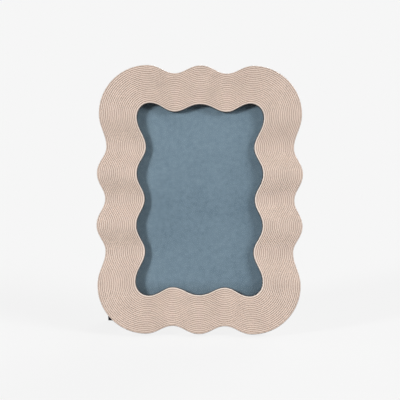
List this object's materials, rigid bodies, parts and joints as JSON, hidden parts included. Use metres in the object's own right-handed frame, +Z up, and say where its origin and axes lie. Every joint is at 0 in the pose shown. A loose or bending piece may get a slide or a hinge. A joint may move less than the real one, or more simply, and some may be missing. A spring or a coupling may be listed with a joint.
{
  "type": "photo frame",
  "caption": "Wavy ribbed standing photo frame with glazed print, black backboard, turn buttons and a folding two-way easel strut.",
  "frame": {"origin": "on the table, under the middle of the standing frame's box", "axes": "+Z up, the picture faces -Y, +X to the right as seen by someone looking at the picture"},
  "size_m": [0.158, 0.063, 0.2048],
  "materials": {
    "resin_moulding": "satin pinkish beige cast resin",
    "float_glass": "clear float glass",
    "print_paper": "satin blue-grey print",
    "grey_board": "plain grey board",
    "flocked_board": "black flocked paper on fibreboard",
    "plated_steel": "zinc plated",
    "screw_steel": "zinc plated"
  },
  "bodies": {
    "frame": {"front_frame": "resin_moulding", "glass_pane": "float_glass", "insert_card": "print_paper", "packing_card": "grey_board", "backboard": "flocked_board", "hinge_board_leaf": "plated_steel", "hinge_pin": "screw_steel", "board_rivet_1": "screw_steel", "board_rivet_2": "screw_steel", "button_screw_top": "screw_steel", "button_screw_left": "screw_steel", "button_screw_bottom": "screw_steel", "button_screw_right": "screw_steel"},
    "strut": {"easel_strut": "flocked_board", "hinge_strut_leaf": "plated_steel", "strut_rivet_1": "screw_steel", "strut_rivet_2": "screw_steel"},
    "button_top": {"turn_button_top": "plated_steel"},
    "button_left": {"turn_button_left": "plated_steel"},
    "button_bottom": {"turn_button_bottom": "plated_steel"},
    "button_right": {"turn_button_right": "plated_steel"}
  },
  "joints": [
    {"name": "strut_fold", "type": "hinge", "parent": "frame", "child": "strut", "pos_m": [0.006, 0.00676, 0.10848], "axis": [-0.8018, 0.114, 0.5866], "range_deg": [0, 19]},
    {"name": "top_button_turn", "type": "hinge", "parent": "frame", "child": "button_top", "pos_m": [0, 0.02091, 0.18652], "axis": [0, 0.9816, -0.1908], "continuous": true},
    {"name": "left_button_turn", "type": "hinge", "parent": "frame", "child": "button_left", "pos_m": [-0.0619, 0.00425, 0.10082], "axis": [0, 0.9816, -0.1908], "continuous": true},
    {"name": "bottom_button_turn", "type": "hinge", "parent": "frame", "child": "button_bottom", "pos_m": [0, -0.0124, 0.01512], "axis": [0, 0.9816, -0.1908], "continuous": true},
    {"name": "right_button_turn", "type": "hinge", "parent": "frame", "child": "button_right", "pos_m": [0.0619, 0.00425, 0.10082], "axis": [0, 0.9816, -0.1908], "continuous": true}
  ]
}
